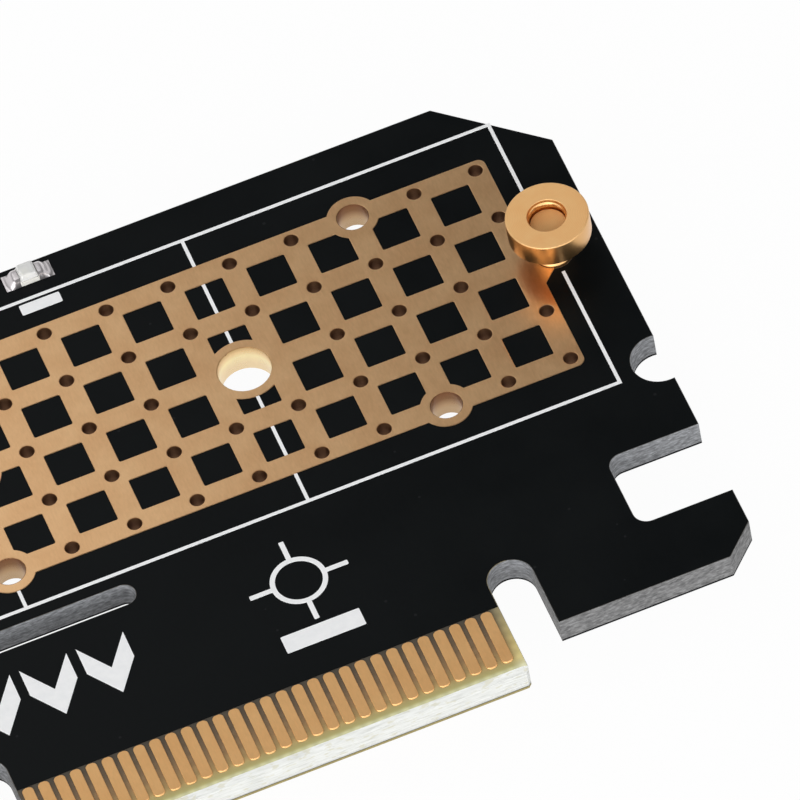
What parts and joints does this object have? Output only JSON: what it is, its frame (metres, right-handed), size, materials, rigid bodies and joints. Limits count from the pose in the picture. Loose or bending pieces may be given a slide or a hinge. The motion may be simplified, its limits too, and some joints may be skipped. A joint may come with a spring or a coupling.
{
  "type": "nvme adapter card",
  "caption": "Low-profile adapter card for a solid-state storage module: board with edge connector fingers, bare copper heat lattice, module socket, end clamp and slot bracket.",
  "frame": {"origin": "middle of the key notch on the tongue's seating edge, at the component face", "axes": "+X along the edge fingers away from the slot bracket, +Y from the fingers to the top edge, +Z out of the component face"},
  "size_m": [0.1566, 0.0792, 0.0184],
  "materials": {
    "board_mask": "soft gloss",
    "plated_copper": "satin",
    "white_print": "matte",
    "clamp_brass": "satin",
    "socket_plastic": "matte",
    "tinned_contact": "satin",
    "lamp_base": "matte",
    "lamp_clear": "clear",
    "solder": "bright",
    "resistor_glaze": "glazed",
    "capacitor_ceramic": "matte",
    "bracket_steel": "bright nickel",
    "screw_steel": "plated"
  },
  "bodies": {
    "root": {"circuit_board": "board_mask", "edge_fingers_front": "plated_copper", "edge_fingers_back": "plated_copper", "heat_lattice": "plated_copper", "print_lines": "white_print", "print_marks": "white_print", "clamp_stud": "clamp_brass", "clamp_nut": "clamp_brass", "socket_housing": "socket_plastic", "socket_upper_contacts": "tinned_contact", "socket_lower_contacts": "tinned_contact", "socket_hold_downs": "tinned_contact", "lamp_bodies": "lamp_base", "lamp_lenses": "lamp_clear", "lamp_ends": "solder", "lamp_resistors": "resistor_glaze", "resistor_ends": "solder", "supply_capacitors": "capacitor_ceramic", "capacitor_ends": "solder", "slot_bracket": "bracket_steel", "bracket_screws": "screw_steel"}
  },
  "joints": []
}
